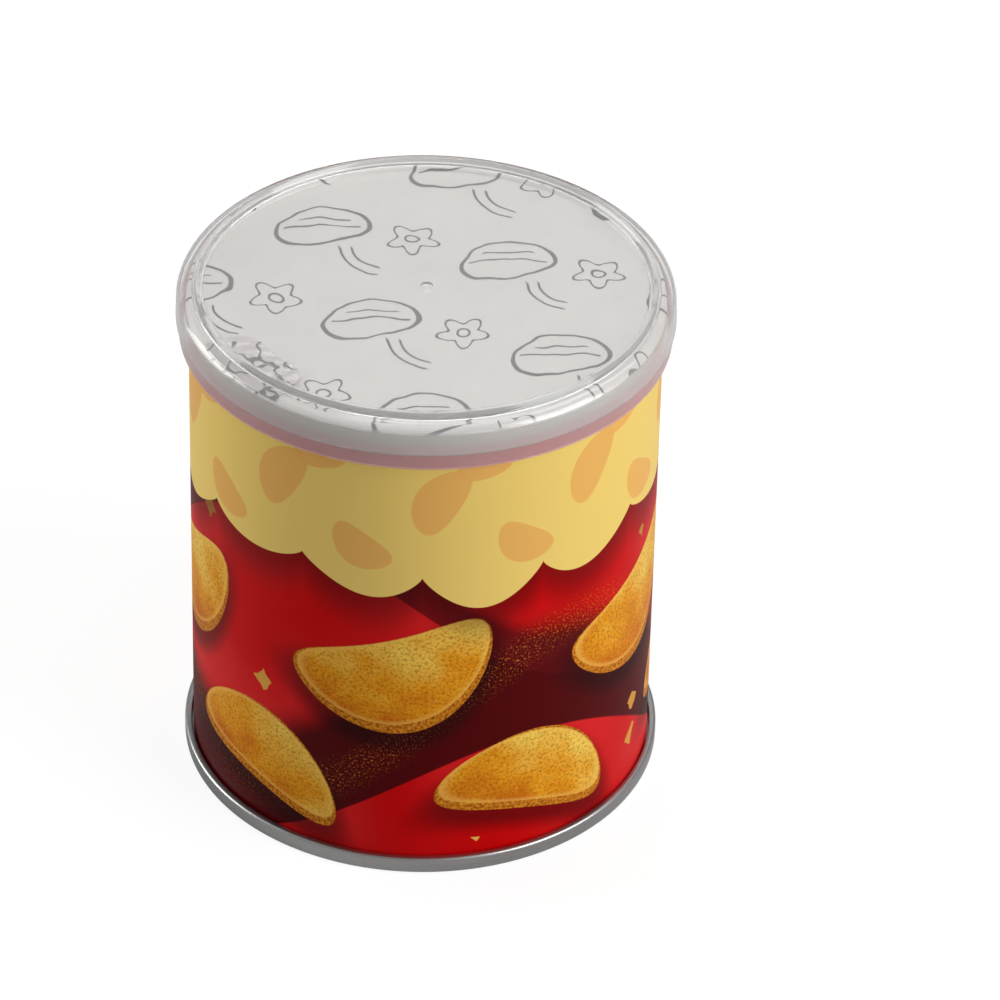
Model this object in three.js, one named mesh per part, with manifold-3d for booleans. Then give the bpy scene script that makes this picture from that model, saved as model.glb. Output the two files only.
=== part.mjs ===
// A short crisp tube: a wound card can with a seamed steel base, a peel-off foil seal and a push-on lid.
// Millimetres, +Z up. The origin is the centre of the circle that the can stands on.
import * as THREE from "three";
import { mergeVertices } from "three/addons/utils/BufferGeometryUtils.js";
import Module from "manifold-3d";

// The whole can
const HEIGHT = 86; // from the base to the top of the closed lid
const BODY_R = 36.5; // outside of the printed card wall
const CARD_WALL = 0.9; // thickness of the wound card
const ROUND_STEPS = 64; // flats round each turned piece
const ARC_STEPS = 4; // flats along each quarter turn of a section
const EDGE_STEPS = 2; // flats along each small edge rounding

// Rolled rim at the top of the card
const ROLL_D = 2.5; // diameter of the roll
const ROLL_OUT = 0.5; // how far the roll stands out past the wall

// Foil seal and its pull tab
const FOIL_T = 0.15; // foil, and the tab folded back on it
const FOIL_GAP = 0.05; // seal film between the foil and the roll
const FOIL_DISH = 0.45; // how far the foil dips inside the rim
const FOIL_WRAP_DEG = 35; // angle over the horizontal at which the foil's edge ends on the roll
const TAB_WIDTH = 18;
const TAB_LENGTH = 8; // from the rim's outside to the tab's free end
const TAB_CORNER = 3.5; // rounding of the free end's corners
const TAB_FOLD_GAP = 0.1; // space inside the tab's fold
const TAB_ROOT_DEG = 58; // where the tab leaves the foil's edge, measured like the wrap
const TAB_ROOT_BITE_DEG = 8; // how far the tab's root reaches into the foil
const TAB_TURN_DEG = 219; // where the tab lies, from +X towards +Y
const FILL_GAP = 0.3; // between the filled body and the seal or the end panel

// Push-on lid
const LID_SEAT_GAP = 0.3; // between the lid's panel and the folded tab
const PANEL_T = 0.8;
const RING_HEIGHT = 1; // stacking ring over the panel
const RING_LAND = 0.7; // flat top of the stacking ring
const RING_FOOT = 1.9; // width of the ring where it meets the panel
const RING_INSET = 0.7; // from the middle of the rolled rim in to the middle of the ring
const LID_CLEARANCE = 0.35; // between the roll and the lid's skirt
const SKIRT_WALL = 0.6;
const SKIRT_DEPTH = 2.6; // skirt below the snap step
const SNAP_STEP = 0.3; // how far the pocket for the roll is wider than the skirt
const SNAP_DROP = 1; // the snap step lies this far under the roll
const POCKET_WALL = 0.65; // wall beside the top of the roll
const BEAD_SWELL = 0.1; // extra thickness at the bottom of the bead
const BEAD_OVERHANG = 0.3; // height of the bead's lower edge over the snap step
const BEAD_UNDERCUT_DEG = 60; // how far the rounding of the bead's lower edge turns in
const SHOULDER_R = 1.75; // rounding of the lid's outer edge
const POCKET_CORNER_R = 1.3; // rounding inside the lid's edge
const LIP_R = 0.25; // rounding of the skirt's lower edge
const GATE_R = 1.1; // moulding mark in the middle of the panel
const GATE_FLOOR_R = 0.55;
const GATE_DEPTH = 0.3;

// Seamed steel end
const SEAM_OUT = 1.4; // how far the seam stands out past the card
const SEAM_HEIGHT = 2.7;
const SEAM_FLOOR = 0.7; // folded metal under the card's edge
const SEAM_EDGE_R = 0.45; // rounding at the seam's outer edges
const SEAM_GAP = 0.3; // between the card and the metal round it
const END_T = 0.3; // end panel and its wall
const END_RECESS = 3.6; // the panel's height over the surface that the can stands on
const END_CORNER_R = 0.8; // bend between the wall and the panel
const END_BEAD_DEPTH = 0.8; // stiffening beads pressed down into the panel
const END_BEAD_SLOPE = 1.2; // width of each bead's flank
const END_BEADS = [
  { inner: 26.5, outer: 30.5 },
  { inner: 12, outer: 15 },
];

// Places that follow from the sizes above
const rollR = ROLL_D / 2;
const rollOutsideR = BODY_R + ROLL_OUT;
const rollMidR = rollOutsideR - rollR;
const panelTopZ = HEIGHT - RING_HEIGHT;
const panelUnderZ = panelTopZ - PANEL_T;
const tabTopZ = panelUnderZ - LID_SEAT_GAP;
const tabUnderZ = tabTopZ - FOIL_T;
const foilTopZ = tabUnderZ - TAB_FOLD_GAP;
const rimTopZ = foilTopZ - FOIL_T - FOIL_GAP;
const rollMidZ = rimTopZ - rollR;
const foilDishZ = rimTopZ - FOIL_DISH;
const endPanelTopZ = END_RECESS + END_T;
const seamSlotInnerR = BODY_R - CARD_WALL - SEAM_GAP;

const wasm = await Module();
wasm.setup();

// Points on an arc in the section plane, both ends included. Angles are in degrees from the outward direction.
function arc(midR, midZ, radius, fromDeg, toDeg, steps = ARC_STEPS) {
  return Array.from({ length: steps + 1 }, (_, i) => {
    const angle = THREE.MathUtils.degToRad(fromDeg + ((toDeg - fromDeg) * i) / steps);
    return [midR + radius * Math.cos(angle), midZ + radius * Math.sin(angle)];
  });
}

// Turns a section of [radius, height] points, listed anticlockwise, round the can's axis.
function turned(section) {
  const points = section.map(([r, z]) => new THREE.Vector2(Math.max(r, 0), z));
  return new THREE.LatheGeometry(points, ROUND_STEPS).rotateX(Math.PI / 2);
}

// A closed geometry as a solid that can be joined or cut.
function solid(geometry) {
  const bare = geometry.clone();
  bare.deleteAttribute("normal");
  bare.deleteAttribute("uv");
  const merged = mergeVertices(bare, 1e-4);
  const corners = merged.index ? Array.from(merged.index.array) : [];
  const triangles = [];
  for (let i = 0; i < corners.length; i += 3) {
    const [a, b, c] = corners.slice(i, i + 3);
    if (a !== b && b !== c && c !== a) triangles.push(a, b, c);
  }
  return new wasm.Manifold(
    new wasm.Mesh({
      numProp: 3,
      vertProperties: merged.attributes.position.array,
      triVerts: new Uint32Array(triangles),
    }),
  );
}

function geometryOf(manifold) {
  const { vertProperties, triVerts } = manifold.getMesh();
  const geometry = new THREE.BufferGeometry();
  geometry.setAttribute("position", new THREE.BufferAttribute(vertProperties, 3));
  geometry.setIndex(new THREE.BufferAttribute(triVerts, 1));
  geometry.computeVertexNormals();
  return geometry;
}

function mesh(name, geometry, material) {
  const made = new THREE.Mesh(geometry, material);
  made.name = name;
  return made;
}

// The card body, closed and full, with its wall standing down into the seam and its top rolled outwards.
function cardTube() {
  const wallInnerR = BODY_R - CARD_WALL;
  const fillBottomZ = endPanelTopZ + FILL_GAP;
  const fillTopZ = foilDishZ - FILL_GAP;
  const wallBottomZ = SEAM_FLOOR + SEAM_GAP;
  const underRollDeg = THREE.MathUtils.radToDeg(Math.acos((BODY_R - rollMidR) / rollR));
  const fillDeg = 180 - THREE.MathUtils.radToDeg(Math.asin((fillTopZ - rollMidZ) / rollR));
  return turned([
    [0, fillBottomZ],
    [wallInnerR, fillBottomZ],
    [wallInnerR, wallBottomZ],
    [BODY_R, wallBottomZ],
    ...arc(rollMidR, rollMidZ, rollR, -underRollDeg, fillDeg, 3 * ARC_STEPS),
    [0, fillTopZ],
  ]);
}

// The foil follows the roll, dips to a flat disc inside it, and its tab is folded back over the edge.
function foilSeal() {
  const under = rollR + FOIL_GAP;
  const over = under + FOIL_T;
  const dishTopZ = foilDishZ + FOIL_T;
  const underDeg = 180 - THREE.MathUtils.radToDeg(Math.asin((foilDishZ - rollMidZ) / under));
  const overDeg = 180 - THREE.MathUtils.radToDeg(Math.asin((dishTopZ - rollMidZ) / over));
  const foil = turned([
    [0, foilDishZ],
    ...arc(rollMidR, rollMidZ, under, underDeg, FOIL_WRAP_DEG, 2 * ARC_STEPS),
    ...arc(rollMidR, rollMidZ, over, FOIL_WRAP_DEG, overDeg, 2 * ARC_STEPS),
    [0, dishTopZ],
  ]);

  const [[rootR, rootZ]] = arc(rollMidR, rollMidZ, over, TAB_ROOT_DEG, TAB_ROOT_DEG, 1);
  const foldR = (tabTopZ - rootZ) / 2;
  const outer = arc(rootR, tabTopZ - foldR, foldR, -90, 90);
  const inner = arc(rootR, tabTopZ - foldR, foldR - FOIL_T, 90, -90);
  const bittenDeg = TAB_ROOT_DEG + TAB_ROOT_BITE_DEG;
  const [buried] = arc(rollMidR, rollMidZ, under + FOIL_T / 2, bittenDeg, bittenDeg, 1);
  const freeEndR = rollOutsideR - TAB_LENGTH;
  const ribbon = turned([
    [freeEndR - TAB_CORNER, tabUnderZ],
    ...inner,
    buried,
    ...outer.slice(1),
    [freeEndR - TAB_CORNER, tabTopZ],
    [freeEndR - TAB_CORNER, tabUnderZ],
  ]);
  const half = TAB_WIDTH / 2;
  const outline = new THREE.Shape();
  outline.moveTo(rollOutsideR + TAB_LENGTH, -half);
  outline.lineTo(rollOutsideR + TAB_LENGTH, half);
  outline.lineTo(freeEndR + TAB_CORNER, half);
  outline.absarc(freeEndR + TAB_CORNER, half - TAB_CORNER, TAB_CORNER, Math.PI / 2, Math.PI, false);
  outline.absarc(freeEndR + TAB_CORNER, TAB_CORNER - half, TAB_CORNER, Math.PI, 1.5 * Math.PI, false);
  const cutter = new THREE.ExtrudeGeometry(outline, {
    depth: HEIGHT,
    bevelEnabled: false,
    curveSegments: ARC_STEPS,
  }).rotateZ(THREE.MathUtils.degToRad(TAB_TURN_DEG));
  const tab = solid(ribbon).intersect(solid(cutter));
  return geometryOf(solid(foil).add(tab));
}

// The lid: recessed panel, stacking ring, rounded edge, a bead over the roll, and a skirt stepped in below it.
function lid() {
  const skirtInnerR = rollOutsideR + LID_CLEARANCE;
  const skirtR = skirtInnerR + SKIRT_WALL;
  const pocketR = skirtInnerR + SNAP_STEP;
  const beadTopR = pocketR + POCKET_WALL;
  const beadR = beadTopR + BEAD_SWELL;
  const stepZ = rimTopZ - ROLL_D - SNAP_DROP;
  const skirtBottomZ = stepZ - SKIRT_DEPTH;
  const beadLowZ = stepZ + BEAD_OVERHANG;
  const ringMidR = rollMidR - RING_INSET;
  return turned([
    [0, panelUnderZ],
    ...arc(pocketR - POCKET_CORNER_R, panelUnderZ - POCKET_CORNER_R, POCKET_CORNER_R, 90, 0),
    [pocketR, stepZ + SNAP_STEP],
    [skirtInnerR, stepZ],
    ...arc(skirtInnerR + LIP_R, skirtBottomZ + LIP_R, LIP_R, 180, 270, EDGE_STEPS),
    ...arc(skirtR - LIP_R, skirtBottomZ + LIP_R, LIP_R, -90, 0, EDGE_STEPS),
    [skirtR, beadLowZ - (beadR - skirtR)],
    ...arc(beadR - LIP_R, beadLowZ + LIP_R, LIP_R, -BEAD_UNDERCUT_DEG, 0, EDGE_STEPS),
    ...arc(beadTopR - SHOULDER_R, panelTopZ - SHOULDER_R, SHOULDER_R, 0, 90),
    [ringMidR + RING_FOOT / 2, panelTopZ],
    [ringMidR + RING_LAND / 2, HEIGHT],
    [ringMidR - RING_LAND / 2, HEIGHT],
    [ringMidR - RING_FOOT / 2, panelTopZ],
    [GATE_R, panelTopZ],
    [GATE_FLOOR_R, panelTopZ - GATE_DEPTH],
    [0, panelTopZ - GATE_DEPTH],
  ]);
}

// The steel end: the double seam folded round the card's edge, a short wall inside it, and a beaded panel.
function baseEnd() {
  const wallR = seamSlotInnerR - END_T;
  const seamR = BODY_R + SEAM_OUT;
  const slotOuterR = BODY_R + SEAM_GAP;
  const beads = END_BEADS.map(({ inner, outer }) => [
    [inner - END_BEAD_SLOPE, 0],
    [inner, -END_BEAD_DEPTH],
    [outer, -END_BEAD_DEPTH],
    [outer + END_BEAD_SLOPE, 0],
  ]);
  const panelOutwards = (z) => beads.toReversed().flat().map(([r, dz]) => [r, z + dz]);
  return turned([
    [0, END_RECESS],
    ...panelOutwards(END_RECESS),
    ...arc(wallR - END_CORNER_R, END_RECESS - END_CORNER_R, END_CORNER_R, 90, 0, EDGE_STEPS),
    ...arc(wallR + SEAM_EDGE_R, SEAM_EDGE_R, SEAM_EDGE_R, 180, 270, EDGE_STEPS),
    ...arc(seamR - SEAM_EDGE_R, SEAM_EDGE_R, SEAM_EDGE_R, -90, 0, EDGE_STEPS),
    ...arc(seamR - SEAM_EDGE_R, SEAM_HEIGHT - SEAM_EDGE_R, SEAM_EDGE_R, 0, 90, EDGE_STEPS),
    [slotOuterR, SEAM_HEIGHT],
    [slotOuterR, SEAM_FLOOR],
    [seamSlotInnerR, SEAM_FLOOR],
    ...arc(seamSlotInnerR - END_CORNER_R, endPanelTopZ - END_CORNER_R, END_CORNER_R, 0, 90, EDGE_STEPS),
    ...panelOutwards(endPanelTopZ).toReversed(),
    [0, endPanelTopZ],
  ]);
}

const printedCard = new THREE.MeshStandardMaterial({ color: 0xc8322e, roughness: 0.45, metalness: 0 });
const steel = new THREE.MeshStandardMaterial({ color: 0xa9abaa, roughness: 0.35, metalness: 1 });
const paleFoil = new THREE.MeshStandardMaterial({ color: 0xdcdad6, roughness: 0.4, metalness: 0.2 });
const frostedPlastic = new THREE.MeshStandardMaterial({
  color: 0xe6e6e4,
  roughness: 0.35,
  metalness: 0,
  transparent: true,
  opacity: 0.4,
});

const crispTube = new THREE.Group();
crispTube.add(
  mesh("card_tube", cardTube(), printedCard),
  mesh("base_end", baseEnd(), steel),
  mesh("foil_seal", foilSeal(), paleFoil),
  mesh("lid", lid(), frostedPlastic),
);

export default crispTube;
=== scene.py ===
"""A short crisp tube on a white table: printed can, steel base, foil seal and frosted lid."""

import math

import bpy
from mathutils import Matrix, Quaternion, Vector, noise


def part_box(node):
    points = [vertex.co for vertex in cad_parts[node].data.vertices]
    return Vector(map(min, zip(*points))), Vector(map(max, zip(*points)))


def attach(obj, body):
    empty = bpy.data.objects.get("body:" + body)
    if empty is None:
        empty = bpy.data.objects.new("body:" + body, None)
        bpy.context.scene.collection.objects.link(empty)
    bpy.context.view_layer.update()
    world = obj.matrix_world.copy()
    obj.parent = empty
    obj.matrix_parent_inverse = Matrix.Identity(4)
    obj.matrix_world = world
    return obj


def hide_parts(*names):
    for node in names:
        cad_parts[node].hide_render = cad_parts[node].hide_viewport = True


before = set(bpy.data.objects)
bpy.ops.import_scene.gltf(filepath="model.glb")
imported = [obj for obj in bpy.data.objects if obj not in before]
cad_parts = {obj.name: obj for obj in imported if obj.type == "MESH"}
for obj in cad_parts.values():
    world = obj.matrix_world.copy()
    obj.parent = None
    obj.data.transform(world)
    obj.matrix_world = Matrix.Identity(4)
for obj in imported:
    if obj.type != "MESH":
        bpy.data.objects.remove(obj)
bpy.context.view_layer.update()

MM = 0.001
ROUND_STEPS = 192  # flats round each turned piece

# Places taken from the frame
tube_low, tube_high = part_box("card_tube")
end_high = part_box("base_end")[1]
foil_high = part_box("foil_seal")[1]
lid_low, lid_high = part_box("lid")
LID_TOP = lid_high[2]
LID_BOTTOM = lid_low[2]
BEAD_R = lid_high[0]
RIM_TOP = tube_high[2]
ROLL_OUTSIDE_R = tube_high[0]
CARD_BOTTOM = tube_low[2]
SEAM_R = end_high[0]
END_PANEL_TOP = end_high[2]
FOIL_TOP = foil_high[2]

# Sizes of the can, as in the solids
BODY_R = ROLL_OUTSIDE_R - 0.5 * MM
CARD_WALL = 0.9 * MM
WRAP_T = 0.16 * MM
WRAP_EDGE = 0.05 * MM
WRAP_BOTTOM = 1.2 * MM
WRAP_TOP = RIM_TOP - 2.9 * MM
ROLL_R = 1.25 * MM
ROLL_MID_R = ROLL_OUTSIDE_R - ROLL_R
ROLL_MID_Z = RIM_TOP - ROLL_R
FOIL_GAP = 0.05 * MM
FOIL_T = 0.15 * MM
FOIL_DISH = RIM_TOP - 0.45 * MM
FOIL_WRAP = math.radians(35)
TAB_TURN = math.radians(219)
TAB_WIDTH = 18 * MM
TAB_LENGTH = 8 * MM
TAB_CORNER = 3.5 * MM
TAB_FOLD_R = 0.18 * MM
TAB_T = 0.08 * MM
FILL_GAP = 0.3 * MM

RING_HEIGHT = 1.0 * MM
PANEL_TOP = LID_TOP - RING_HEIGHT
PANEL_UNDER = PANEL_TOP - 0.8 * MM
RING_MID_R = ROLL_MID_R - 0.7 * MM
RING_LAND = 0.7 * MM
RING_FOOT = 1.9 * MM
SKIRT_INNER_R = ROLL_OUTSIDE_R + 0.35 * MM
SKIRT_R = SKIRT_INNER_R + 0.6 * MM
POCKET_R = SKIRT_INNER_R + 0.3 * MM
BEAD_TOP_R = BEAD_R - 0.1 * MM
STEP_Z = RIM_TOP - 3.5 * MM
BEAD_LOW_Z = STEP_Z + 0.3 * MM
SHOULDER_R = 1.75 * MM
POCKET_CORNER_R = 1.3 * MM
LIP_R = 0.25 * MM
HOLD = 0.25 * MM  # an extra ring this far from a bend keeps the flat beside it flat in shading
STEP_RISE = 0.3 * MM
GATE_R = 1.1 * MM
GATE_EDGE_R = 0.2 * MM
GATE_FLOOR_R = 0.75 * MM
GATE_DEPTH = 0.3 * MM

END_T = 0.3 * MM
END_RECESS = END_PANEL_TOP - END_T
SEAM_HEIGHT = 2.7 * MM
SEAM_FLOOR = 0.7 * MM
SEAM_EDGE_R = 0.45 * MM
SLOT_EDGE_R = 0.12 * MM
SLOT_OUTER_R = BODY_R + 0.3 * MM
SLOT_INNER_R = BODY_R - CARD_WALL - 0.3 * MM
END_WALL_R = SLOT_INNER_R - END_T
END_CORNER_R = 0.8 * MM
END_BEADS = ((30.5 * MM, 26.5 * MM), (15 * MM, 12 * MM))
END_BEAD_SLOPE = 1.2 * MM
END_BEAD_DEPTH = 0.8 * MM


# Modelling

def arc(mid_r, mid_z, radius, start, stop, steps=6):
    """Points on a section's arc, from one angle in degrees to another, both ends included."""
    angles = [math.radians(start + (stop - start) * i / steps) for i in range(steps + 1)]
    return [(mid_r + radius * math.cos(a), mid_z + radius * math.sin(a)) for a in angles]


def deselect():
    bpy.ops.object.select_all(action="DESELECT")


def finish_turned(name, smooth_angle=35):
    """Closes the edit of a turned piece: normals out, place in the mesh, edges kept sharp."""
    bpy.ops.mesh.select_all(action="SELECT")
    bpy.ops.mesh.remove_doubles(threshold=1e-6)
    bpy.ops.mesh.normals_make_consistent(inside=False)
    bpy.ops.object.mode_set(mode="OBJECT")
    piece = bpy.context.object
    piece.name = piece.data.name = name
    bpy.ops.object.transform_apply(location=True, rotation=True, scale=True)
    bpy.ops.object.shade_smooth_by_angle(angle=math.radians(smooth_angle))
    return piece


def pull_ring(place, to):
    """Extrudes the selected ring of edges to a new radius and height."""
    radius, height = to
    bpy.ops.mesh.extrude_region_move(TRANSFORM_OT_translate={"value": (0, 0, height - place[1])})
    grow = radius / place[0]
    bpy.ops.transform.resize(value=(grow, grow, 1), center_override=(0, 0, height))


def turn_solid(name, section):
    """Turns a section, from its first ring to its last, and closes both of them at the axis."""
    deselect()
    radius, height = section[0]
    bpy.ops.mesh.primitive_circle_add(
        vertices=ROUND_STEPS, radius=radius, fill_type="TRIFAN", location=(0, 0, height)
    )
    bpy.ops.object.mode_set(mode="EDIT")
    bpy.ops.mesh.select_mode(type="EDGE")
    bpy.ops.mesh.region_to_loop()
    for place, to in zip(section, section[1:]):
        pull_ring(place, to)
    bpy.ops.mesh.extrude_region_move(TRANSFORM_OT_translate={"value": (0, 0, 0)})
    bpy.ops.mesh.merge(type="CENTER")
    return finish_turned(name)


def turn_ring(name, section):
    """Turns a closed section that stays off the axis."""
    deselect()
    radius, height = section[0]
    bpy.ops.mesh.primitive_circle_add(
        vertices=ROUND_STEPS, radius=radius, fill_type="NOTHING", location=(0, 0, height)
    )
    bpy.ops.object.mode_set(mode="EDIT")
    bpy.ops.mesh.select_mode(type="EDGE")
    for place, to in zip(section, section[1:] + section[:1]):
        pull_ring(place, to)
    return finish_turned(name)


def card_body():
    """The wound card: wall down into the seam, top edge rolled out, closed over the filling."""
    fill_top = FOIL_DISH - FILL_GAP
    under_roll = math.degrees(math.acos((BODY_R - WRAP_T - ROLL_MID_R) / ROLL_R))
    fill_angle = 180 - math.degrees(math.asin((fill_top - ROLL_MID_Z) / ROLL_R))
    wall_inner = BODY_R - CARD_WALL
    section = [
        (wall_inner, END_PANEL_TOP + FILL_GAP),
        (wall_inner, CARD_BOTTOM),
        (BODY_R - WRAP_T, CARD_BOTTOM),
        *arc(ROLL_MID_R, ROLL_MID_Z, ROLL_R, -under_roll, fill_angle, 20),
    ]
    section.append((section[-1][0] - HOLD, fill_top))
    return turn_solid("card_body", section)


def label_wrap():
    """The printed paper sleeve, a thin ring round the card."""
    inner = BODY_R - WRAP_T
    section = [
        (inner, WRAP_BOTTOM),
        (BODY_R - WRAP_EDGE, WRAP_BOTTOM),
        (BODY_R, WRAP_BOTTOM + WRAP_EDGE),
        (BODY_R, WRAP_TOP - WRAP_EDGE),
        (BODY_R - WRAP_EDGE, WRAP_TOP),
        (inner, WRAP_TOP),
    ]
    return turn_ring("label_wrap", section)


def foil_membrane():
    """The foil: over the roll from its outside to its inside, and flat across the can."""
    under = ROLL_R + FOIL_GAP
    over = under + FOIL_T
    dish_top = FOIL_DISH + FOIL_T
    under_end = 180 - math.degrees(math.asin((FOIL_DISH - ROLL_MID_Z) / under))
    over_end = 180 - math.degrees(math.asin((dish_top - ROLL_MID_Z) / over))
    wrap = math.degrees(FOIL_WRAP)
    section = [
        *arc(ROLL_MID_R, ROLL_MID_Z, under, under_end, wrap, 14),
        *arc(ROLL_MID_R, ROLL_MID_Z, over, wrap, over_end, 14),
    ]
    section = [(section[0][0] - HOLD, FOIL_DISH), *section, (section[-1][0] - HOLD, dish_top)]
    return turn_solid("foil_membrane", section)


def lid_cap():
    """The lid in one moulding: panel with a gate mark, stacking ring, shoulder, bead and skirt."""
    section = [
        (POCKET_R - POCKET_CORNER_R - HOLD, PANEL_UNDER),
        *arc(POCKET_R - POCKET_CORNER_R, PANEL_UNDER - POCKET_CORNER_R, POCKET_CORNER_R, 90, 0, 8),
        (POCKET_R, STEP_Z + STEP_RISE),
        (SKIRT_INNER_R, STEP_Z),
        *arc(SKIRT_INNER_R + LIP_R, LID_BOTTOM + LIP_R, LIP_R, 180, 270, 4),
        *arc(SKIRT_R - LIP_R, LID_BOTTOM + LIP_R, LIP_R, -90, 0, 4),
        (SKIRT_R, BEAD_LOW_Z - (BEAD_R - SKIRT_R) - 0.1 * MM),
        *arc(BEAD_R - LIP_R, BEAD_LOW_Z + LIP_R, LIP_R, -70, 0, 4),
        *arc(BEAD_TOP_R - SHOULDER_R, PANEL_TOP - SHOULDER_R, SHOULDER_R, 0, 90, 10),
        *ring_crest(),
        (RING_MID_R - RING_FOOT / 2 - HOLD, PANEL_TOP),
        (GATE_R + HOLD, PANEL_TOP),
        *arc(GATE_R, PANEL_TOP - GATE_EDGE_R, GATE_EDGE_R, 90, 180, 3),
        (GATE_FLOOR_R, PANEL_TOP - GATE_DEPTH),
    ]
    return turn_solid("lid_cap", section)


def ring_crest():
    """The stacking ring's section, from its outer foot over the crest to its inner foot."""
    steps = 12
    half = RING_FOOT / 2
    flat = RING_LAND / 4
    points = []
    for i in range(steps + 1):
        across = half * math.cos(math.pi * i / steps)
        fall = min(1, max(0, (abs(across) - flat) / (half - flat)))
        rise = 0.5 + 0.5 * math.cos(math.pi * fall)
        points.append((RING_MID_R + across, PANEL_TOP + RING_HEIGHT * rise))
    return points


def base_end():
    """The steel end: double seam round the card's edge, a short wall and a beaded panel."""
    def panel(height, inwards):
        points = []
        for outer, inner in END_BEADS:
            flanks = [(outer + END_BEAD_SLOPE, outer, 1), (inner, inner - END_BEAD_SLOPE, -1)]
            for start, stop, way in flanks:
                for i in range(5):
                    share = i / 4
                    drop = 0.5 - 0.5 * math.cos(math.pi * share)
                    drop = drop if way > 0 else 1 - drop
                    points.append((start + (stop - start) * share, height - END_BEAD_DEPTH * drop))
        points.append((points[-1][0] - HOLD, height))
        return points if inwards else points[::-1]

    section = [
        *panel(END_RECESS, inwards=False),
        *arc(END_WALL_R - END_CORNER_R, END_RECESS - END_CORNER_R, END_CORNER_R, 90, 0, 5),
        *arc(END_WALL_R + SEAM_EDGE_R, SEAM_EDGE_R, SEAM_EDGE_R, 180, 270, 5),
        *arc(SEAM_R - SEAM_EDGE_R, SEAM_EDGE_R, SEAM_EDGE_R, -90, 0, 5),
        *arc(SEAM_R - SEAM_EDGE_R, SEAM_HEIGHT - SEAM_EDGE_R, SEAM_EDGE_R, 0, 90, 5),
        *arc(SLOT_OUTER_R + SLOT_EDGE_R, SEAM_HEIGHT - SLOT_EDGE_R, SLOT_EDGE_R, 90, 180, 3),
        (SLOT_OUTER_R, SEAM_FLOOR),
        (SLOT_INNER_R, SEAM_FLOOR),
        *arc(SLOT_INNER_R - END_CORNER_R, END_PANEL_TOP - END_CORNER_R, END_CORNER_R, 0, 90, 5),
        *panel(END_PANEL_TOP, inwards=True),
    ]
    return turn_solid("steel_end", section)


# Node tools

def linear(red, green, blue):
    """A colour picked as 0 to 255 on screen, as the linear values that a shader takes."""
    def one(value):
        value /= 255
        return value / 12.92 if value <= 0.04045 else ((value + 0.055) / 1.055) ** 2.4
    return one(red), one(green), one(blue), 1.0


class Wiring:
    """Adds nodes to one tree. Values and sockets can both be given as inputs."""

    def __init__(self, tree):
        self.tree = tree

    def put(self, kind, inputs=(), **settings):
        node = self.tree.nodes.new(kind)
        for name, value in settings.items():
            setattr(node, name, value)
        for name, value in dict(inputs).items():
            self.feed(node.inputs[name], value)
        return node

    def feed(self, socket, value):
        if isinstance(value, bpy.types.NodeSocket):
            self.tree.links.new(value, socket)
        else:
            socket.default_value = value

    def maths(self, operation, *values, clamp=False):
        node = self.tree.nodes.new("ShaderNodeMath")
        node.operation = operation
        node.use_clamp = clamp
        for socket, value in zip(node.inputs, values):
            self.feed(socket, value)
        return node.outputs[0]

    def times(self, one, other):
        return self.maths("MULTIPLY", one, other)

    def plus(self, one, other, clamp=False):
        return self.maths("ADD", one, other, clamp=clamp)

    def minus(self, one, other):
        return self.maths("SUBTRACT", one, other)

    def scaled(self, value, factor, start):
        """A value times a factor, counted from a start."""
        return self.maths("MULTIPLY_ADD", value, factor, start)

    def blend(self, share, under, over):
        """Lays one colour over another."""
        node = self.tree.nodes.new("ShaderNodeMix")
        node.data_type = "RGBA"
        self.feed(node.inputs[0], share)
        self.feed(node.inputs[6], under)
        self.feed(node.inputs[7], over)
        return node.outputs[2]

    def ease(self, value, low, high):
        """0 below low and 1 above high, with a smooth step between."""
        node = self.put("ShaderNodeMapRange", interpolation_type="SMOOTHSTEP")
        self.feed(node.inputs["Value"], value)
        self.feed(node.inputs["From Min"], low)
        self.feed(node.inputs["From Max"], high)
        return node.outputs["Result"]

    def vector(self, x, y, z=0.0):
        return self.put("ShaderNodeCombineXYZ", {"X": x, "Y": y, "Z": z}).outputs[0]

    def stretched(self, vector, scale):
        """A place drawn out along its axes, for a grain that runs one way."""
        return self.put("ShaderNodeMapping", {"Vector": vector, "Scale": scale}).outputs[0]

    def noise(self, vector, scale, detail=2.0, roughness=0.5):
        inputs = {"Vector": vector, "Scale": scale, "Detail": detail, "Roughness": roughness}
        return self.put("ShaderNodeTexNoise", inputs).outputs["Fac"]

    def group(self, tree, **inputs):
        node = self.tree.nodes.new("ShaderNodeGroup")
        node.node_tree = tree
        for name, value in inputs.items():
            self.feed(node.inputs[name.replace("_", " ")], value)
        return node.outputs


def new_group(name, inputs, outputs):
    """A node group with named float, vector or colour sockets."""
    kinds = {"value": "NodeSocketFloat", "vector": "NodeSocketVector", "colour": "NodeSocketColor"}
    tree = bpy.data.node_groups.new(name, "ShaderNodeTree")
    for way, sockets in (("INPUT", inputs), ("OUTPUT", outputs)):
        for socket, kind in sockets:
            tree.interface.new_socket(name=socket, in_out=way, socket_type=kinds[kind])
    wires = Wiring(tree)
    return wires, wires.put("NodeGroupInput").outputs, wires.put("NodeGroupOutput").inputs


def new_material(name):
    material = bpy.data.materials.new(name)
    material.use_nodes = True
    material.node_tree.nodes.clear()
    wires = Wiring(material.node_tree)
    out = wires.put("ShaderNodeOutputMaterial")
    place = wires.put("ShaderNodeTexCoord").outputs["Object"]
    return material, wires, out, place


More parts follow.
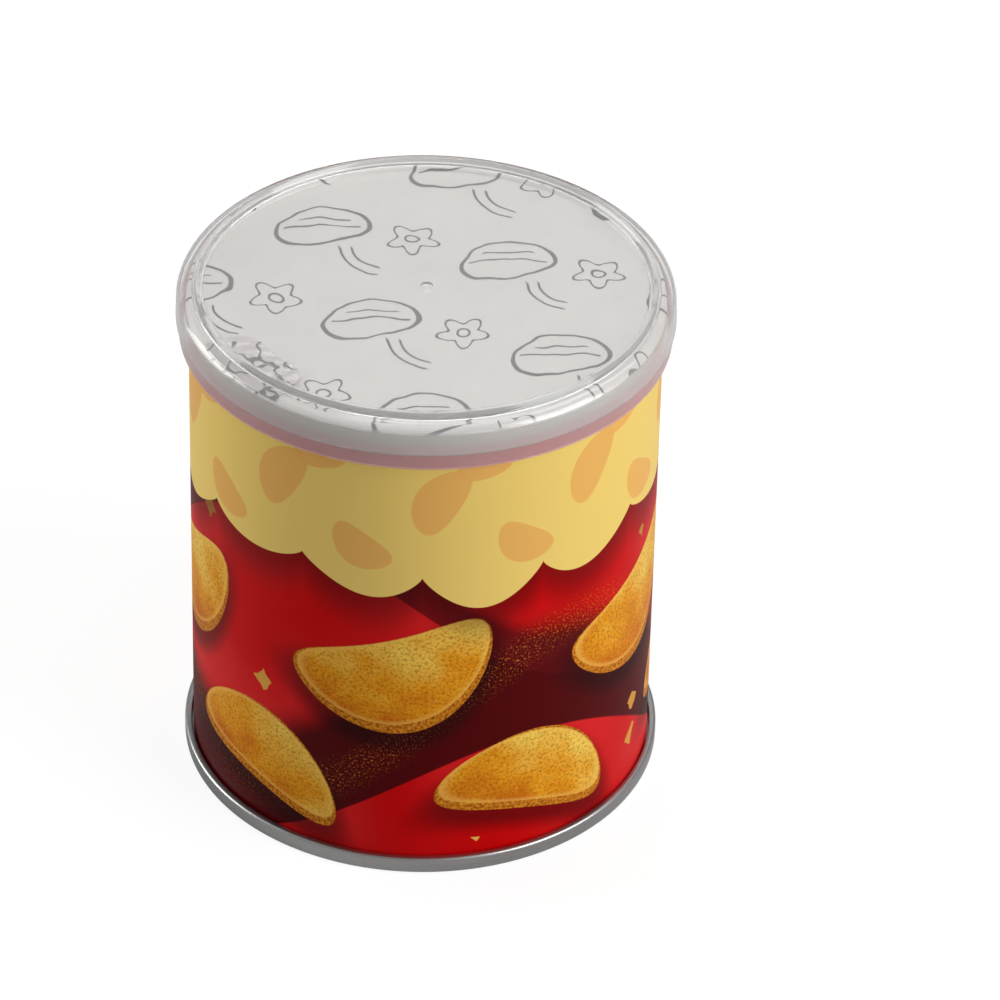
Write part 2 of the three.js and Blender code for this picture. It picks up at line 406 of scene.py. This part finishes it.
def make_round_place():
    """A place on the can's wall, in millimetres: round from the front, and up from the table."""
    wires, given, out = new_group(
        "round_place", [("Place", "vector")],
        [("Round", "value"), ("Height", "value"), ("Flat", "vector")],
    )
    xyz = wires.put("ShaderNodeSeparateXYZ", {"Vector": given["Place"]}).outputs
    angle = wires.maths("ARCTAN2", xyz["X"], wires.times(xyz["Y"], -1.0))
    around = wires.times(angle, BODY_R / MM)
    height = wires.maths("DIVIDE", xyz["Z"], MM)
    wires.feed(out["Round"], around)
    wires.feed(out["Height"], height)
    wires.feed(out["Flat"], wires.vector(around, height))
    return wires.tree


def make_oval_row():
    """Ovals of one size in a row. Inside is 1 at an oval's middle and 0 at its outline. U and V
    run from -1 to 1 across it, and Edge is how far inside the outline a point lies."""
    wires, given, out = new_group(
        "oval_row",
        [("Across", "value"), ("Up", "value"), ("Pitch", "value"), ("Shift", "value"),
         ("Level", "value"), ("Half Length", "value"), ("Half Width", "value"),
         ("Lean", "value"), ("Bend", "value")],
        [("Inside", "value"), ("U", "value"), ("V", "value"), ("Edge", "value")],
    )
    half = wires.times(given["Pitch"], 0.5)
    moved = wires.minus(given["Across"], given["Shift"])
    x = wires.maths("WRAP", moved, half, wires.times(half, -1.0))
    y = wires.minus(given["Up"], given["Level"])
    sine = wires.maths("SINE", given["Lean"])
    cosine = wires.maths("COSINE", given["Lean"])
    along = wires.plus(wires.times(x, cosine), wires.times(y, sine))
    beside = wires.minus(wires.times(y, cosine), wires.times(x, sine))
    u = wires.maths("DIVIDE", along, given["Half Length"])
    arch = wires.times(wires.scaled(u, u, -0.3), given["Bend"])
    v = wires.plus(wires.maths("DIVIDE", beside, given["Half Width"]), arch)
    reach = wires.maths("SQRT", wires.plus(wires.times(u, u), wires.times(v, v)))
    inside = wires.minus(1.0, reach)
    wires.feed(out["Inside"], inside)
    wires.feed(out["U"], u)
    wires.feed(out["V"], v)
    wires.feed(out["Edge"], wires.times(inside, given["Half Width"]))
    return wires.tree


def make_fine_wear():
    """Small scuffs and dust as a mask, with its size in millimetres."""
    wires, given, out = new_group(
        "fine_wear",
        [("Place", "vector"), ("Size", "value"), ("Amount", "value")],
        [("Mask", "value"), ("Tone", "value")],
    )
    scale = wires.maths("DIVIDE", 1 / MM, given["Size"])
    rough = wires.noise(given["Place"], scale, detail=5.0, roughness=0.65)
    broad = wires.noise(given["Place"], 60.0, detail=2.0)
    wires.feed(out["Mask"], wires.times(wires.ease(rough, 0.58, 0.78), given["Amount"]))
    wires.feed(out["Tone"], wires.plus(0.5, wires.times(wires.minus(broad, 0.5), 0.6)))
    return wires.tree


ROUND_PLACE = make_round_place()
OVAL_ROW = make_oval_row()
FINE_WEAR = make_fine_wear()
GIRTH = 2 * math.pi * BODY_R / MM

# The print on the wrap, with its sizes in millimetres
BAND_LEVEL = 57.0  # where the lobes of the yellow band's hanging edge meet
BAND_DEPTH = 4.6
BAND_LOBES = 12
STRIP_LEVEL = LID_BOTTOM / MM - 0.9  # the red strip round the top starts under the lid's skirt
SLICES = 5  # golden slices in each row
SPOTS = 9  # spots in each row on the yellow band
# Each row: shift in pitches, level, half length, half width, lean and bend
SLICE_ROWS = ((0.40, 15.0, 15.5, 7.6, -0.24, 0.75), (-0.08, 37.0, 16.5, 8.8, 0.34, -0.62))
SPOT_ROWS = (
    (0.1, 70.5, 6.4, 3.6, 1.05, 0.3),
    (0.62, 61.0, 5.2, 3.2, -0.6, -0.4),
    (0.36, 76.5, 4.4, 2.6, 0.2, 0.2),
)
RED, PALE_RED, STRIP_RED = linear(208, 2, 5), linear(222, 34, 36), linear(198, 30, 36)
MAROON, WINE = linear(82, 0, 5), linear(98, 5, 14)
YELLOW, AMBER = linear(246, 212, 116), linear(240, 180, 96)

# The print on the foil, in millimetres
FIGURE_PITCH = 30.0
FIGURE_ROW = 22.0
LINE_WIDTH = 0.5


def scalloped_edge(wires, around):
    """The height of the band's hanging edge: lobes that meet in points, some of them deeper."""
    wave = wires.maths("SINE", wires.times(around, math.pi * BAND_LOBES / GIRTH))
    lobes = wires.maths("ABSOLUTE", wave)
    swing = wires.maths("SINE", wires.scaled(around, 2 * math.pi * 3 / GIRTH, 0.8))
    depth = wires.scaled(swing, 0.3 * BAND_DEPTH, BAND_DEPTH)
    level = wires.scaled(swing, -0.9, BAND_LEVEL)
    return wires.minus(level, wires.times(wires.maths("POWER", lobes, 0.75), depth))


def waved_edge(wires, around, level, swing, waves, turn=0.0):
    angle = wires.scaled(around, 2 * math.pi * waves / GIRTH, turn)
    return wires.scaled(wires.maths("SINE", angle), swing, level)


def golden_slices(wires, flat, around, height, colour):
    """Two staggered rows of golden slices, each with a toasted underside and a speckled face.
    Gives the colour, and a mask of where the slices and their shadows lie."""
    pitch = GIRTH / SLICES
    taken = 0.0
    grain = wires.noise(flat, 1.9, detail=4.0, roughness=0.7)
    toast = wires.noise(flat, 0.14, detail=2.0)
    for shift, level, length, width, lean, bend in SLICE_ROWS:
        row = {
            "Across": around, "Up": height, "Pitch": pitch, "Shift": shift * pitch,
            "Level": level, "Half_Length": length, "Half_Width": width, "Lean": lean, "Bend": bend,
        }
        shadow = wires.group(OVAL_ROW, **{**row, "Level": level - 2.4})
        soft = wires.ease(shadow["Edge"], -3.0, 1.0)
        colour = wires.blend(wires.times(soft, 0.7), colour, linear(30, 0, 3))
        under = wires.group(OVAL_ROW, **row)
        here = wires.maths("MAXIMUM", soft, wires.ease(under["Edge"], -0.6, -0.4))
        taken = wires.maths("MAXIMUM", taken, here)
        crust = wires.ease(grain, 0.35, 0.65)
        crust = wires.blend(crust, linear(232, 150, 40), linear(150, 74, 6))
        colour = wires.blend(wires.ease(under["Edge"], -0.06, 0.06), colour, crust)
        inset = {"Level": level + 0.7, "Half_Length": length - 0.5, "Half_Width": width - 0.9}
        face = wires.group(OVAL_ROW, **{**row, **inset})
        glow = wires.scaled(face["V"], -0.30, 0.46)
        glow = wires.scaled(face["U"], -0.22, glow)
        glow = wires.plus(glow, wires.times(wires.minus(toast, 0.5), 1.1))
        ramp = wires.put("ShaderNodeValToRGB", {"Fac": glow})
        ramp.color_ramp.elements[0].color = linear(255, 212, 92)
        ramp.color_ramp.elements[0].position = 0.05
        ramp.color_ramp.elements[1].color = linear(206, 96, 4)
        ramp.color_ramp.elements[1].position = 0.98
        middle = ramp.color_ramp.elements.new(0.5)
        middle.color = linear(240, 160, 30)
        speck = wires.times(wires.ease(grain, 0.46, 0.64), 0.62)
        body = wires.blend(speck, ramp.outputs["Color"], linear(150, 82, 0))
        pale = wires.times(wires.ease(grain, 0.40, 0.26), 0.5)
        body = wires.blend(pale, body, linear(255, 224, 140))
        lip = wires.times(wires.ease(face["Edge"], 0.9, 0.1), 0.55)
        body = wires.blend(lip, body, linear(252, 196, 92))
        colour = wires.blend(wires.ease(face["Edge"], -0.08, 0.08), colour, body)
    return colour, taken


def printed_wrap():
    """Gloss paper printed with fields of colour: a spotted yellow band, and under it a red field
    with dark sweeps, golden slices and crumbs."""
    material, wires, out, place = new_material("printed_wrap")
    spot = wires.group(ROUND_PLACE, Place=place)
    around, height, flat = spot["Round"], spot["Height"], spot["Flat"]

    drift = wires.noise(flat, 0.035, detail=1.0)
    field = wires.blend(wires.ease(drift, 0.35, 0.65), RED, PALE_RED)
    sweep_mid = waved_edge(wires, around, 24.0, 13.0, 2, 0.6)
    off = wires.minus(height, sweep_mid)
    sweep = wires.times(wires.ease(off, -13.4, -13.0), wires.ease(off, 11.0, 3.0))
    field = wires.blend(sweep, field, MAROON)
    second = wires.minus(height, waved_edge(wires, around, 50.0, 15.0, 2, 2.9))
    streak = wires.times(wires.ease(second, -4.2, -3.8), wires.ease(second, 5.0, 1.0))
    field = wires.blend(wires.times(streak, 0.85), field, WINE)

    dust = wires.noise(flat, 2.6, detail=3.0, roughness=0.8)
    trail = wires.minus(height, waved_edge(wires, around, 26.0, 17.0, 2, 0.1))
    near = wires.times(wires.ease(trail, -6.0, 0.0), wires.ease(trail, 6.0, 0.0))
    dusted = wires.times(wires.ease(dust, 0.58, 0.62), near)
    field = wires.blend(dusted, field, linear(226, 138, 40))
    crumbs = wires.put(
        "ShaderNodeTexVoronoi", {"Vector": flat, "Scale": 0.085, "Randomness": 0.9},
        distance="MANHATTAN", voronoi_dimensions="2D",
    )
    chosen = wires.put("ShaderNodeSeparateColor", {"Color": crumbs.outputs["Color"]}).outputs
    size = wires.scaled(chosen["Green"], 0.16, 0.07)
    ragged = wires.scaled(wires.noise(flat, 0.4, detail=1.0), 0.20, -0.10)
    size = wires.plus(size, ragged)
    crumb = wires.ease(wires.minus(size, crumbs.outputs["Distance"]), 0.0, 0.012)
    crumb = wires.times(crumb, wires.maths("GREATER_THAN", chosen["Red"], 0.55))
    field, taken = golden_slices(wires, flat, around, height, field)
    crumb = wires.times(crumb, wires.maths("LESS_THAN", taken, 0.02))
    chip = wires.blend(chosen["Blue"], linear(206, 130, 34), linear(240, 190, 90))
    field = wires.blend(crumb, field, chip)

    edge = scalloped_edge(wires, around)
    over = wires.minus(height, edge)
    shade = wires.times(wires.ease(over, -9.0, 0.0), 0.62)
    field = wires.blend(shade, field, linear(42, 0, 3))
    band = YELLOW
    pitch = GIRTH / SPOTS
    for shift, level, length, width, lean, bend in SPOT_ROWS:
        oval = wires.group(
            OVAL_ROW, Across=around, Up=height, Pitch=pitch, Shift=shift * pitch, Level=level,
            Half_Length=length, Half_Width=width, Lean=lean, Bend=bend,
        )
        band = wires.blend(wires.times(wires.ease(oval["Edge"], -0.1, 0.1), 0.9), band, AMBER)
    colour = wires.blend(wires.ease(over, -0.07, 0.07), field, band)
    strip = wires.ease(height, STRIP_LEVEL - 0.08, STRIP_LEVEL + 0.08)
    colour = wires.blend(strip, colour, STRIP_RED)

    back = wires.maths("ABSOLUTE", wires.minus(wires.maths("ABSOLUTE", around), GIRTH / 2))
    lap = wires.ease(back, 0.35, 0.0)
    wear = wires.group(FINE_WEAR, Place=place, Size=0.6, Amount=0.25)
    low_edge = wires.ease(height, WRAP_BOTTOM / MM + 0.5, WRAP_BOTTOM / MM)
    scuff = wires.times(wear["Mask"], wires.plus(low_edge, lap, clamp=True))
    colour = wires.blend(scuff, colour, linear(226, 214, 200))
    colour = wires.blend(wires.times(lap, 0.35), colour, linear(60, 10, 10))

    paper = wires.noise(flat, 3.2, detail=3.0)
    roughness = wires.scaled(wear["Tone"], 0.14, 0.36)
    relief = wires.plus(wires.times(paper, 0.12), lap)
    bump = wires.put("ShaderNodeBump", {"Height": relief, "Strength": 0.18, "Distance": 0.1 * MM})
    shader = wires.put("ShaderNodeBsdfPrincipled", {
        "Base Color": colour, "Roughness": roughness, "Normal": bump.outputs["Normal"],
        "Specular IOR Level": 0.07,
    })
    wires.feed(out.inputs["Surface"], shader.outputs[0])
    return material


def bare_card():
    """Grey-brown wound card, seen at the rolled rim."""
    material, wires, out, place = new_material("bare_card")
    spot = wires.group(ROUND_PLACE, Place=place)
    along_card = wires.stretched(spot["Flat"], (0.25, 2.2, 1.0))
    fibres = wires.noise(along_card, 1.4, detail=6.0, roughness=0.7)
    wear = wires.group(FINE_WEAR, Place=place, Size=0.5, Amount=0.5)
    colour = wires.blend(fibres, linear(176, 158, 134), linear(206, 192, 170))
    colour = wires.blend(wear["Mask"], colour, linear(140, 122, 100))
    bump = wires.put("ShaderNodeBump", {"Height": fibres, "Strength": 0.3, "Distance": 0.1 * MM})
    shader = wires.put("ShaderNodeBsdfPrincipled", {
        "Base Color": colour, "Roughness": wires.scaled(wear["Tone"], 0.2, 0.62),
        "Normal": bump.outputs["Normal"],
    })
    wires.feed(out.inputs["Surface"], shader.outputs[0])
    return material


def tinplate():
    """Bright steel, rolled round the seam and drawn over the panel, with fine scratches."""
    material, wires, out, place = new_material("tinplate")
    spot = wires.group(ROUND_PLACE, Place=place)
    along_plate = wires.stretched(spot["Flat"], (0.02, 3.0, 1.0))
    rolling = wires.noise(along_plate, 3.0, detail=5.0, roughness=0.6)
    grain = wires.noise(wires.stretched(place, (40.0, 1500.0, 900.0)), 1.0, detail=3.0)
    wear = wires.group(FINE_WEAR, Place=place, Size=0.8, Amount=0.6)
    colour = wires.blend(rolling, linear(150, 152, 152), linear(196, 197, 196))
    colour = wires.blend(wear["Mask"], colour, linear(120, 120, 118))
    relief = wires.plus(wires.times(rolling, 0.6), wires.times(grain, 0.4))
    bump = wires.put("ShaderNodeBump", {"Height": relief, "Strength": 0.12, "Distance": 0.05 * MM})
    shader = wires.put("ShaderNodeBsdfPrincipled", {
        "Base Color": colour, "Metallic": 1.0, "Normal": bump.outputs["Normal"],
        "Roughness": wires.scaled(grain, 0.16, wires.scaled(wear["Tone"], 0.12, 0.20)),
    })
    wires.feed(out.inputs["Surface"], shader.outputs[0])
    return material


def line_mask(wires, distance, width):
    """A drawn line: 1 within half the width of a curve, from the distance to it."""
    return wires.ease(wires.maths("ABSOLUTE", distance), width / 2 + 0.07, width / 2 - 0.07)


def foil_print(wires, place):
    """A sparse grey line drawing on the foil: leaning ovals with two fold lines, five-petalled
    flowers, and pairs of arcs."""
    flat = wires.put("ShaderNodeMapping", {
        "Vector": place, "Rotation": (0, 0, math.radians(17)),
        "Scale": (1 / MM, 1 / MM, 1 / MM), "Location": (6.0, 9.5, 0.0),
    }).outputs[0]
    xyz = wires.put("ShaderNodeSeparateXYZ", {"Vector": flat}).outputs
    sway = wires.times(wires.minus(wires.noise(flat, 0.2, detail=1.0), 0.5), 1.8)
    x, y = wires.plus(xyz["X"], sway), wires.minus(xyz["Y"], sway)
    rows = wires.maths("DIVIDE", y, FIGURE_ROW)
    index = wires.maths("ROUND", rows)
    up = wires.times(wires.minus(rows, index), FIGURE_ROW)
    shift = wires.times(index, FIGURE_PITCH / 2)

    def figure(aside, level, length, width, lean=0.0, bend=0.0):
        return wires.group(
            OVAL_ROW, Across=x, Up=up, Pitch=FIGURE_PITCH, Shift=wires.plus(shift, aside),
            Level=level, Half_Length=length, Half_Width=width, Lean=lean, Bend=bend,
        )

    def drawn(distance, share=1.0):
        return line_mask(wires, distance, LINE_WIDTH * share)

    oval = figure(0.0, 0.0, 7.4, 5.0, 0.6, 0.22)
    lines = [drawn(oval["Edge"])]
    within = wires.ease(oval["Inside"], 0.14, 0.2)
    fold = wires.times(wires.plus(oval["V"], wires.times(oval["U"], 0.35)), 4.6)
    lines.append(wires.times(drawn(fold, 0.8), within))
    second = wires.minus(wires.plus(oval["V"], wires.times(oval["U"], 0.35)), 0.4)
    second_line = drawn(wires.times(second, 4.6), 0.7)
    lines.append(wires.times(second_line, wires.ease(oval["Inside"], 0.3, 0.36)))

    flower = figure(14.5, 1.0, 3.6, 3.6)
    angle = wires.maths("ARCTAN2", flower["V"], flower["U"])
    petals = wires.maths("COSINE", wires.times(angle, 5.0))
    outline = wires.plus(flower["Edge"], wires.scaled(petals, 0.85, -0.3))
    lines.append(drawn(outline, 0.9))
    lines.append(drawn(figure(14.5, 1.0, 1.0, 1.0)["Edge"], 0.8))
    for radius in (6.2, 8.0):
        ring = figure(12.0, -2.0, radius, radius)
        part = wires.ease(wires.plus(ring["V"], wires.times(ring["U"], 0.7)), -0.95, -1.0)
        lines.append(wires.times(drawn(ring["Edge"], 0.8), part))
    mask = lines[0]
    for more in lines[1:]:
        mask = wires.maths("MAXIMUM", mask, more)
    return mask


def white_foil():
    """White-lacquered foil with a grey line print, softly crinkled and pressed at the rim."""
    material, wires, out, place = new_material("white_foil")
    xyz = wires.put("ShaderNodeSeparateXYZ", {"Vector": place}).outputs
    x, y = xyz["X"], xyz["Y"]
    reach = wires.maths("SQRT", wires.plus(wires.times(x, x), wires.times(y, y)))
    rim = wires.ease(reach, ROLL_MID_R - 2.4 * MM, ROLL_MID_R - 0.6 * MM)
    angle = wires.maths("ARCTAN2", y, x)
    along_rim = wires.vector(wires.times(angle, 26.0), wires.times(reach, 60.0))
    pleats = wires.noise(along_rim, 1.0, detail=2.0)
    crinkle = wires.noise(place, 230.0, detail=5.0, roughness=0.55)
    broad = wires.noise(place, 55.0, detail=1.0)
    wear = wires.group(FINE_WEAR, Place=place, Size=0.7, Amount=0.25)
    paint = wires.blend(wear["Tone"], linear(218, 213, 209), linear(231, 227, 223))
    colour = wires.blend(wires.times(foil_print(wires, place), 0.98), paint, linear(22, 21, 20))
    relief = wires.plus(wires.times(crinkle, 0.5), wires.times(broad, 1.6))
    relief = wires.plus(relief, wires.times(wires.times(pleats, rim), 1.6))
    bump = wires.put("ShaderNodeBump", {"Height": relief, "Strength": 0.35, "Distance": 0.25 * MM})
    shader = wires.put("ShaderNodeBsdfPrincipled", {
        "Base Color": colour, "Metallic": 0.15, "Normal": bump.outputs["Normal"],
        "Roughness": wires.scaled(wear["Tone"], 0.16, 0.30),
    })
    wires.feed(out.inputs["Surface"], shader.outputs[0])
    return material


def bare_foil():
    """The foil's unprinted underside, which the folded tab shows, with painted shade along its
    creases.
    """
    material, wires, out, place = new_material("bare_foil")
    crinkle = wires.noise(place, 500.0, detail=4.0, roughness=0.6)
    wear = wires.group(FINE_WEAR, Place=place, Size=0.5, Amount=0.6)
    crease_noise = wires.noise(place, 210.0, detail=2.0)
    shaded_crease = wires.ease(wires.maths("ABSOLUTE", wires.minus(crease_noise, 0.5)), 0.034, 0.014)
    colour = wires.blend(wear["Mask"], linear(206, 200, 198), linear(140, 136, 132))
    # Painted shade: the crease lines are darkened in the colour, standing in for the shade that
    # falls in the folds.
    colour = wires.blend(wires.times(shaded_crease, 0.9), colour, linear(48, 45, 45))
    relief = wires.minus(crinkle, shaded_crease)
    bump = wires.put("ShaderNodeBump", {"Height": relief, "Strength": 0.5, "Distance": 0.2 * MM})
    shader = wires.put("ShaderNodeBsdfPrincipled", {
        "Base Color": colour, "Metallic": 0.85, "Normal": bump.outputs["Normal"],
        "Roughness": wires.scaled(wear["Tone"], 0.12, 0.26),
    })
    wires.feed(out.inputs["Surface"], shader.outputs[0])
    return material


def frosted_plastic():
    """Translucent moulded plastic: clear on the panel, cloudier on the ring and down the bead,
    with a painted pink glow along the skirt's lowest edge.
    """
    material, wires, out, place = new_material("frosted_plastic")
    xyz = wires.put("ShaderNodeSeparateXYZ", {"Vector": place}).outputs
    cloud = wires.noise(place, 90.0, detail=3.0)
    grain = wires.noise(place, 900.0, detail=3.0)
    wear = wires.group(FINE_WEAR, Place=place, Size=0.9, Amount=0.5)
    wall = wires.ease(xyz["Z"], PANEL_TOP - 0.3 * MM, PANEL_TOP - 2.0 * MM)
    skirt = wires.ease(xyz["Z"], BEAD_LOW_Z + 0.1 * MM, BEAD_LOW_Z - 0.5 * MM)
    milk = wires.scaled(wall, 0.38, 0.10)
    milk = wires.minus(milk, wires.times(skirt, 0.24))
    # Painted light: the skirt's lowest edge is made cloudier and tinted salmon, standing in for a
    # bright highlight along the edge that the red print behind it tints.
    painted_edge_glow = wires.ease(xyz["Z"], LID_BOTTOM + 0.30 * MM, LID_BOTTOM + 0.16 * MM)
    milk = wires.plus(milk, wires.times(painted_edge_glow, 0.25))
    ring = wires.ease(xyz["Z"], PANEL_TOP + 0.05 * MM, PANEL_TOP + 0.6 * MM)
    milk = wires.plus(milk, wires.times(ring, 0.30))
    milk = wires.plus(milk, wires.times(wires.minus(cloud, 0.5), 0.10))
    milk = wires.plus(milk, wires.times(wear["Mask"], 0.08), clamp=True)
    bump = wires.put("ShaderNodeBump", {"Height": grain, "Strength": 0.10, "Distance": 0.06 * MM})
    veil = wires.put("ShaderNodeBsdfPrincipled", {
        "Base Color": wires.blend(painted_edge_glow, linear(210, 209, 208), linear(236, 180, 164)),
        "Normal": bump.outputs["Normal"], "IOR": 1.5,
        "Roughness": wires.scaled(wear["Tone"], 0.10, 0.14),
    })
    glass = wires.put("ShaderNodeBsdfPrincipled", {
        "Base Color": (0.94, 0.94, 0.94, 1.0), "Normal": bump.outputs["Normal"],
        "IOR": 1.45, "Transmission Weight": 1.0,
        "Roughness": wires.scaled(wear["Tone"], 0.06, 0.04),
    })
    body = wires.put("ShaderNodeMixShader", {0: milk, 1: glass.outputs[0], 2: veil.outputs[0]})
    rays = wires.put("ShaderNodeLightPath").outputs
    unseen = wires.maths("MAXIMUM", rays["Is Shadow Ray"], rays["Is Diffuse Ray"])
    passing = wires.times(unseen, wires.minus(1.0, wires.times(milk, 0.5)))
    clear = wires.put("ShaderNodeBsdfTransparent", {"Color": (0.94, 0.94, 0.94, 1.0)})
    mixed = wires.put("ShaderNodeMixShader", {0: passing, 1: body.outputs[0], 2: clear.outputs[0]})
    wires.feed(out.inputs["Surface"], mixed.outputs[0])
    return material


def pull_tab():
    """The foil's tab: it leaves the rim, folds back over it and lies crumpled on the seal."""
    deselect()
    bpy.ops.mesh.primitive_grid_add(x_subdivisions=44, y_subdivisions=60, size=1.0)
    tab = bpy.context.object
    tab.name = tab.data.name = "pull_tab"
    over = ROLL_R + FOIL_GAP + FOIL_T
    lie_z = FOIL_TOP - FOIL_T
    root_rise = lie_z - 2 * TAB_FOLD_R - ROLL_MID_Z
    root_r = math.sqrt((over + 0.02 * MM) ** 2 - root_rise ** 2) + ROLL_MID_R
    free_end = ROLL_OUTSIDE_R - TAB_LENGTH
    bend_share = 0.12
    for vertex in tab.data.vertices:
        along = vertex.co.x + 0.5
        across = vertex.co.y * TAB_WIDTH
        crumple = 0.0
        if along < bend_share:
            turn = math.radians(-90) + math.pi * along / bend_share
            radius = root_r + TAB_FOLD_R * math.cos(turn)
            height = lie_z - TAB_FOLD_R + TAB_FOLD_R * math.sin(turn)
        else:
            share = (along - bend_share) / (1 - bend_share)
            corner = max(0.0, abs(across) - (TAB_WIDTH / 2 - TAB_CORNER)) / TAB_CORNER
            end = free_end + TAB_CORNER * (1 - math.sqrt(1 - corner * corner))
            radius = root_r + (end - root_r) * share
            height = lie_z
            folds = noise.noise(Vector((across * 420 + radius * 160, radius * 260, 3.7)))
            fine = noise.noise(Vector((across * 1500, radius * 1300, 9.1)))
            crumple = (0.16 * abs(folds) + 0.05 * fine) * MM * min(1, share * 4)
        turn = across / root_r
        vertex.co = (radius * math.cos(turn), radius * math.sin(turn), height + crumple)
    turn_about_axis(tab, TAB_TURN)
    bpy.context.view_layer.objects.active = tab
    thick = tab.modifiers.new("foil thickness", "SOLIDIFY")
    thick.thickness = TAB_T
    thick.offset = 1.0
    bpy.ops.object.modifier_apply(modifier=thick.name)
    bpy.ops.object.shade_smooth_by_angle(angle=math.radians(40))
    return tab


def turn_about_axis(piece, angle):
    """Turns a piece round the can's axis, in its mesh."""
    deselect()
    piece.select_set(True)
    bpy.context.view_layer.objects.active = piece
    piece.rotation_euler = (0, 0, angle)
    bpy.ops.object.transform_apply(location=True, rotation=True, scale=True)


def dress():
    """Makes each piece, gives it its finish and sets it on its body in place of its solid."""
    card, plate, foil_look = bare_card(), tinplate(), white_foil()
    plastic, wrap_look = frosted_plastic(), printed_wrap()
    pieces = [
        (card_body(), card, "can", "card_tube", "printed_card"),
        (label_wrap(), wrap_look, "can", None, "printed_card"),
        (base_end(), plate, "can", "base_end", "steel"),
        (foil_membrane(), foil_look, "can", "foil_seal", "foil"),
        (pull_tab(), bare_foil(), "can", None, "foil"),
        (lid_cap(), plastic, "lid", "lid", "frosted_plastic"),
    ]
    for piece, look, body, node, slot in pieces:
        piece.data.materials.clear()
        piece.data.materials.append(look)
        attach(piece, body)
        if node:
            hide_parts(node)


# The table, the light and the camera

def floor_and_world():
    """A white table that keeps the can's shadow, under a plain white sky."""
    deselect()
    bpy.ops.mesh.primitive_plane_add(size=6.0, location=(0, 0, -0.00005))
    floor = bpy.context.object
    floor.name = "table_top"
    material, wires, out, _ = new_material("white_table")
    rays = wires.put("ShaderNodeLightPath").outputs
    seen = rays["Is Camera Ray"]
    tone = wires.scaled(seen, 0.55, 0.35)
    tone = wires.scaled(rays["Is Glossy Ray"], 0.25, tone)
    paper = wires.put("ShaderNodeBsdfDiffuse", {"Color": wires.vector(tone, tone, tone)})
    white = wires.put("ShaderNodeEmission", {"Color": (1.0, 1.0, 1.0, 1.0), "Strength": 1.07})
    share = wires.times(seen, 0.8)
    mixed = wires.put("ShaderNodeMixShader", {0: share, 1: paper.outputs[0], 2: white.outputs[0]})
    wires.feed(out.inputs["Surface"], mixed.outputs[0])
    floor.data.materials.append(material)

    world = bpy.data.worlds.new("studio")
    bpy.context.scene.world = world
    world.use_nodes = True
    world.node_tree.nodes.clear()
    sky = Wiring(world.node_tree)
    rays = sky.put("ShaderNodeLightPath").outputs
    seen = sky.maths("MAXIMUM", rays["Is Camera Ray"], rays["Is Transmission Ray"])
    level = sky.scaled(seen, 0.66, 0.34)
    glow = sky.put("ShaderNodeBackground", {"Color": (1.0, 1.0, 1.0, 1.0), "Strength": level})
    end = sky.put("ShaderNodeOutputWorld")
    sky.feed(end.inputs["Surface"], glow.outputs[0])


def softbox(name, azimuth, elevation, distance, size, power):
    """A square lamp turned to the can. Azimuth 0 is the viewer's side and grows to the right."""
    turn, rise = math.radians(azimuth), math.radians(elevation)
    target = Vector((0, 0, LID_TOP / 2))
    level = math.cos(rise)
    way = Vector((math.sin(turn) * level, -math.cos(turn) * level, math.sin(rise)))
    bpy.ops.object.light_add(type="AREA", location=target + way * distance)
    lamp = bpy.context.object
    lamp.name = name
    lamp.data.size = size
    lamp.data.energy = power
    lamp.rotation_euler = way.to_track_quat("Z", "Y").to_euler()


def lights():
    softbox("key_softbox", 63, 32, 0.9, 0.60, 6.2)
    softbox("left_softbox", -108, 22, 0.9, 0.52, 4.1)
    softbox("top_softbox", 165, 60, 0.9, 0.45, 1.5)


PHOTO_SIDE = 1000  # pixels
PHOTO_MIDDLE_X = 423.5  # where the can's centre lies in the picture
PHOTO_MIDDLE_Y = 507.8
CAMERA_DISTANCE = 0.9
CAMERA_RISE = math.radians(35.95)
CAMERA_ROLL = math.radians(0.83)
PIXELS_PER_MM = 6.364  # at the can's centre


def camera():
    """The photo's view: from the front and above, with the can left of the picture's middle."""
    target = Vector((0, 0, LID_TOP / 2))
    back = Vector((0, -math.cos(CAMERA_RISE), math.sin(CAMERA_RISE)))
    focal = PIXELS_PER_MM * CAMERA_DISTANCE / MM
    bpy.ops.object.camera_add(location=target + back * CAMERA_DISTANCE)
    view = bpy.context.object
    view.name = "photo_view"
    view.data.sensor_width = 36.0
    view.data.lens = focal * view.data.sensor_width / PHOTO_SIDE
    view.data.clip_start = 0.01
    aside = math.atan2(PHOTO_MIDDLE_X - PHOTO_SIDE / 2, focal)
    under = math.atan2(PHOTO_MIDDLE_Y - PHOTO_SIDE / 2, focal)
    aim = back.to_track_quat("Z", "Y") @ Quaternion((0, 0, 1), CAMERA_ROLL)
    aim = aim @ Quaternion((0, 1, 0), aside) @ Quaternion((1, 0, 0), under)
    view.rotation_euler = aim.to_euler()
    bpy.context.scene.camera = view


camera()
dress()
floor_and_world()
lights()
bpy.context.scene.view_settings.view_transform = "Standard"
